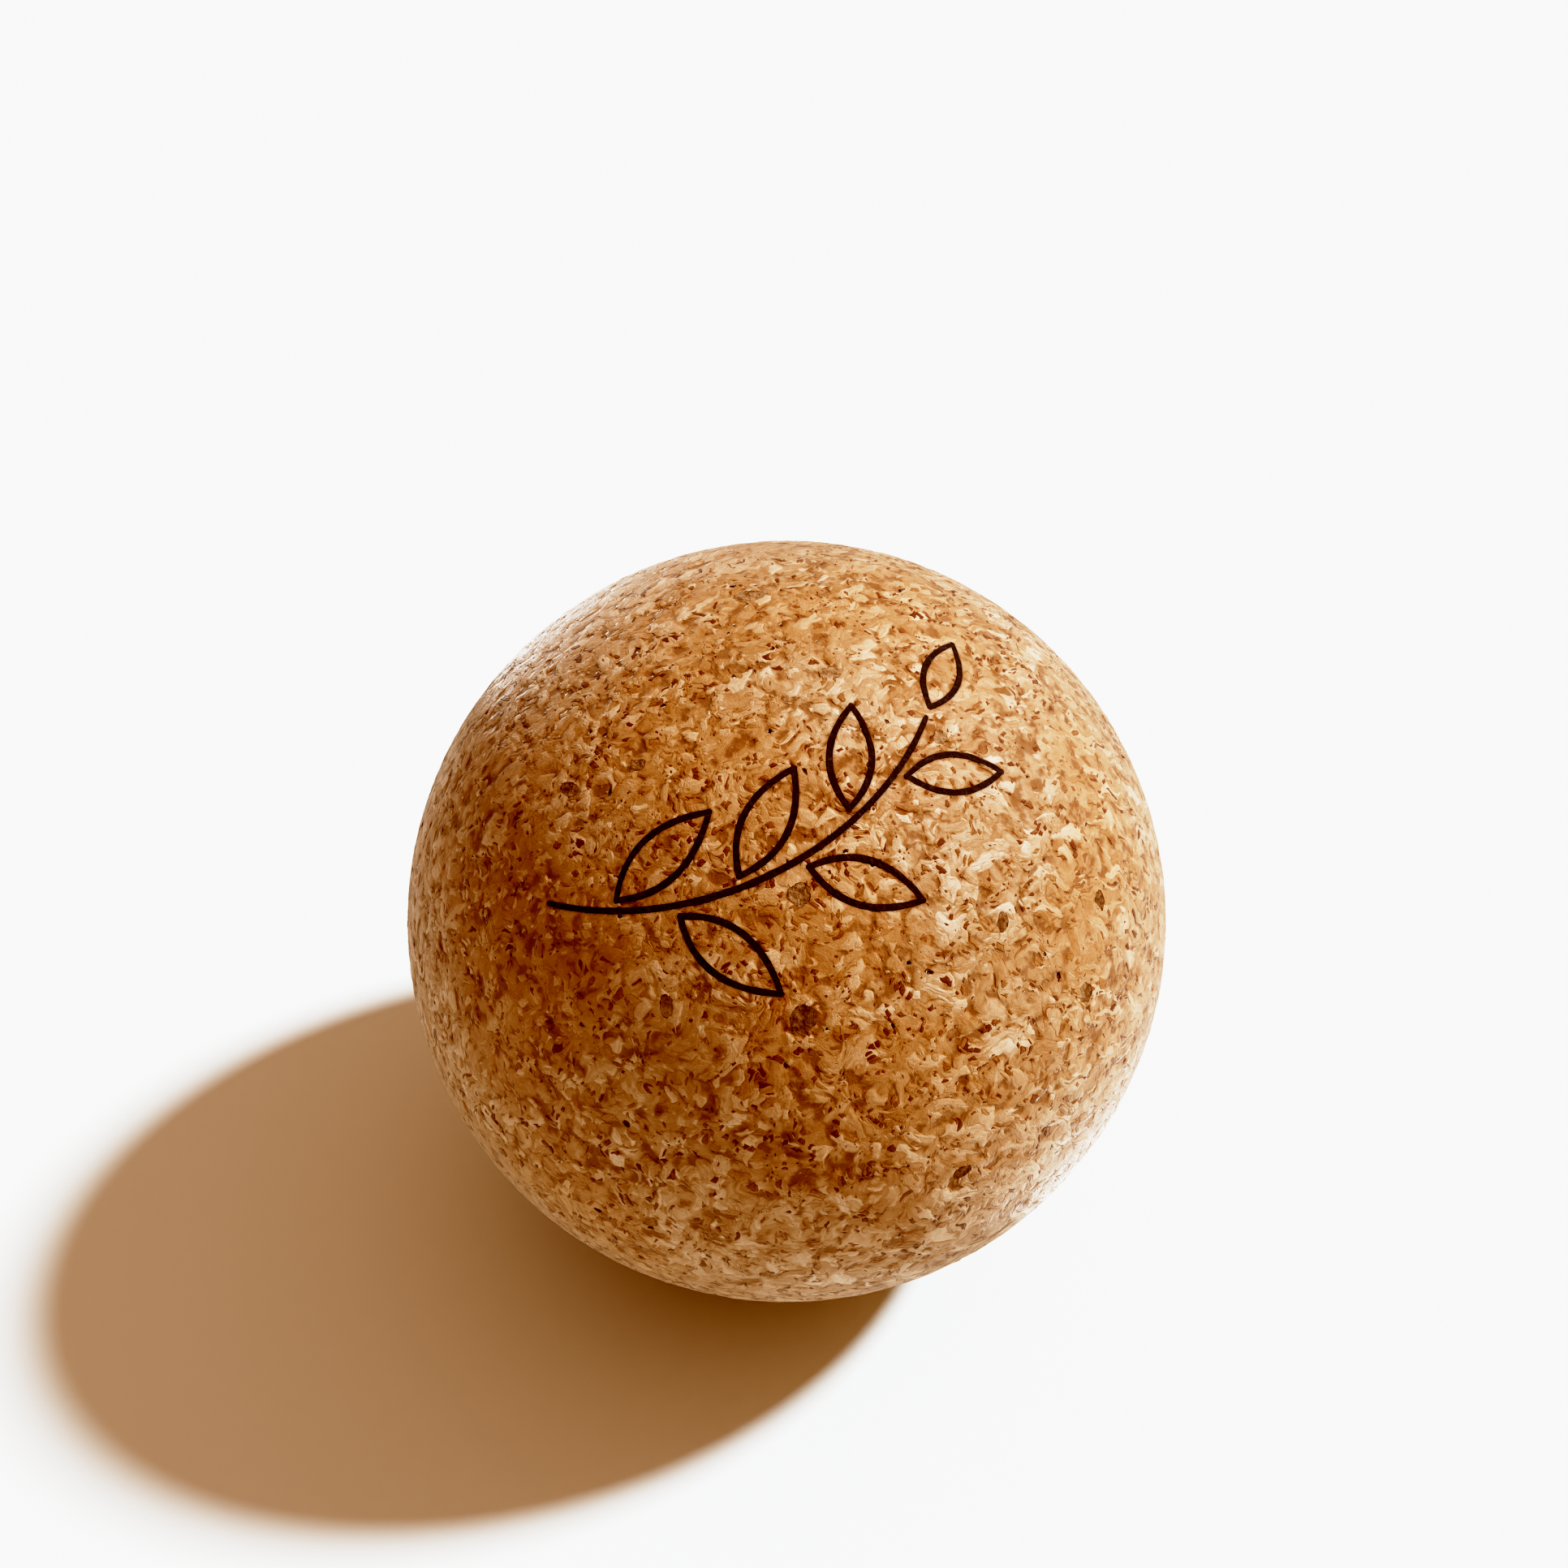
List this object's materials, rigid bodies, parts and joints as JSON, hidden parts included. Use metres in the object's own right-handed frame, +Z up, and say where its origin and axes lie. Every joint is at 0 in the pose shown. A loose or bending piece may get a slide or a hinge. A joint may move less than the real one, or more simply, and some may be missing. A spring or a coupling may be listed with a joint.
{
  "type": "cork massage ball",
  "caption": "Solid ball of bonded cork granules for self-massage, with inlaid bark granules in its skin and a burned leaf-sprig mark.",
  "frame": {"origin": "lowest point of the ball, where it touches the surface it stands on; the ball's middle is one radius above it", "axes": "+Z up; the mark faces -Y, tilted up; +X is to the right when facing the mark"},
  "size_m": [0.065, 0.065, 0.065],
  "materials": {
    "cork": "agglomerated cork, sanded, unlacquered, warm tan with pale and brown granules",
    "bark": "raw cork bark, matt, olive-brown",
    "char": "burned cork line, matt, purplish brown-black"
  },
  "bodies": {
    "root": {"cork_ball": "cork", "mark_stem": "char", "mark_leaf_1": "char", "mark_leaf_2": "char", "mark_leaf_3": "char", "mark_leaf_4": "char", "mark_leaf_5": "char", "mark_leaf_6": "char", "mark_leaf_7": "char", "bark_granule_01": "bark", "bark_granule_02": "bark", "bark_granule_03": "bark", "bark_granule_04": "bark", "bark_granule_05": "bark", "bark_granule_06": "bark", "bark_granule_07": "bark", "bark_granule_08": "bark", "bark_granule_09": "bark", "bark_granule_10": "bark", "bark_granule_11": "bark", "bark_granule_12": "bark", "bark_granule_13": "bark", "bark_granule_14": "bark", "bark_granule_15": "bark", "bark_granule_16": "bark", "bark_granule_17": "bark", "bark_granule_18": "bark"}
  },
  "joints": []
}
